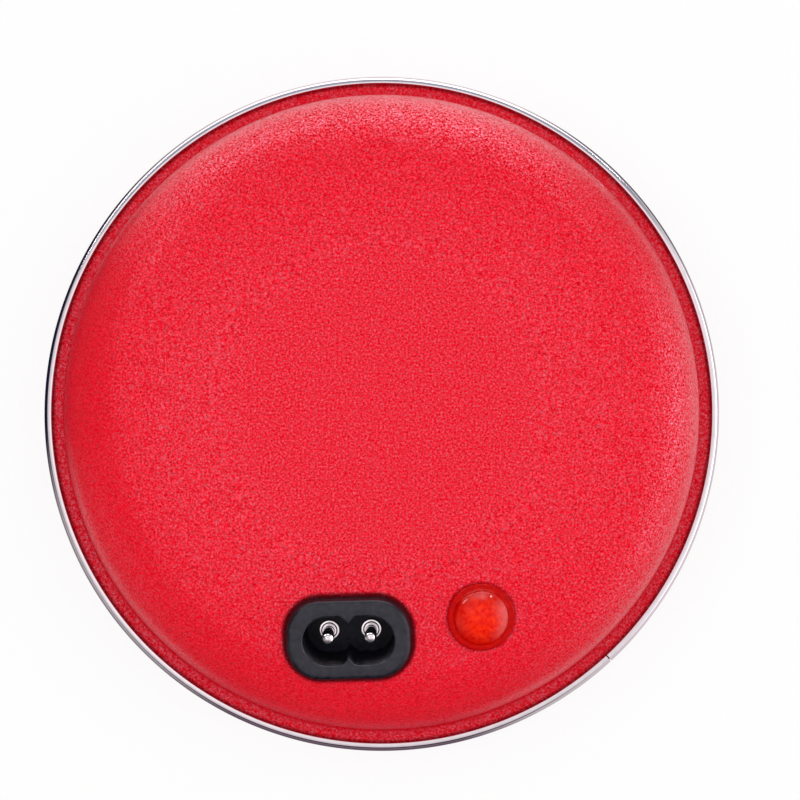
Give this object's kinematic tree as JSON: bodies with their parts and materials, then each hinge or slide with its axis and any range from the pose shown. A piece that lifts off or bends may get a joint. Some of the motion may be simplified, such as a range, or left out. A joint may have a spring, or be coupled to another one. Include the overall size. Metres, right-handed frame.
{
  "type": "rechargeable hand warmer",
  "caption": "Round heat-storing hand warmer: two pressed domes in a split clamp ring, with a two-pole mains inlet and an indicator lamp on one face.",
  "frame": {"origin": "middle of the flat on the back dome, on the surface that the warmer lies on", "axes": "+Z out of the inlet face, -Y from the middle towards the inlet, +X towards the lamp's side"},
  "size_m": [0.143, 0.143, 0.0524],
  "materials": {
    "red_paint": "satin metallic red lacquer with a fine grain",
    "bright_steel": "polished stainless",
    "gasket_rubber": "matt",
    "inlet_plastic": "fine matt moulding",
    "pin_nickel": "nickel plated",
    "spring_steel": "plain rolled",
    "lens_red": "clear red, glossy",
    "bulb_glass": "clear",
    "ceramic_store": "fired, matt",
    "mica": "pearly sheet",
    "felt": "ceramic-fibre felt",
    "ceramic_white": "glazed steatite",
    "phenolic": "moulded",
    "brass_part": "plain",
    "zinc_steel": "zinc plated",
    "lead_red": "silicone sleeve",
    "lead_blue": "silicone sleeve",
    "lead_white": "glass-braid sleeve"
  },
  "bodies": {
    "case": {"front_shell": "red_paint", "back_shell": "red_paint", "clamp_ring": "bright_steel", "ring_splice": "bright_steel", "rim_gasket": "gasket_rubber", "inlet_housing": "inlet_plastic", "inlet_pins": "pin_nickel", "inlet_retainer": "spring_steel", "lamp_lens": "lens_red", "lamp_push_nut": "spring_steel", "neon_bulb": "bulb_glass", "lamp_electrodes": "pin_nickel", "lamp_resistor": "mica", "storage_block_front": "ceramic_store", "storage_block_back": "ceramic_store", "mica_front": "mica", "mica_back": "mica", "heating_element": "pin_nickel", "core_bolt": "zinc_steel", "core_nut": "zinc_steel", "core_washers": "zinc_steel", "core_bracket": "spring_steel", "felt_front": "felt", "felt_back": "felt", "felt_side": "felt", "thermostat_bracket": "zinc_steel", "thermostat_cap": "zinc_steel", "thermostat_guide": "ceramic_white", "thermostat_base": "phenolic", "bimetal_disc": "brass_part", "fixed_contact": "pin_nickel", "arm_terminal": "brass_part", "contact_terminal": "brass_part", "thermostat_screws": "zinc_steel", "thermal_fuse": "pin_nickel", "fuse_sleeve": "lead_white", "fuse_clip": "spring_steel", "terminal_block": "ceramic_white", "terminal_inserts": "brass_part", "terminal_screws": "zinc_steel", "block_screw": "zinc_steel", "lead_live": "lead_red", "lead_neutral": "lead_blue", "lead_thermostat": "lead_red", "lead_fuse": "lead_red", "element_leads": "lead_white", "lamp_leads": "lead_red"},
    "contact_arm": {"contact_arm": "brass_part", "moving_contact": "pin_nickel"},
    "transfer_pin": {"transfer_pin": "ceramic_white"}
  },
  "joints": [
    {"name": "contact_arm_lift", "type": "hinge", "parent": "case", "child": "contact_arm", "pos_m": [-0.0278, -0.03625, 0.022], "axis": [0, 0, -1], "range_deg": [0, 5], "stiffness_Nm_per_rad": 0.02, "springref_deg": -2.86},
    {"name": "transfer_pin_slide", "type": "slide", "parent": "case", "child": "transfer_pin", "axis": [0, -1, 0], "range_m": [0, 0.00025]}
  ],
  "couplings": [
    {"joint": "transfer_pin_slide", "follows": "contact_arm_lift", "m_per_rad": 0.00275}
  ]
}
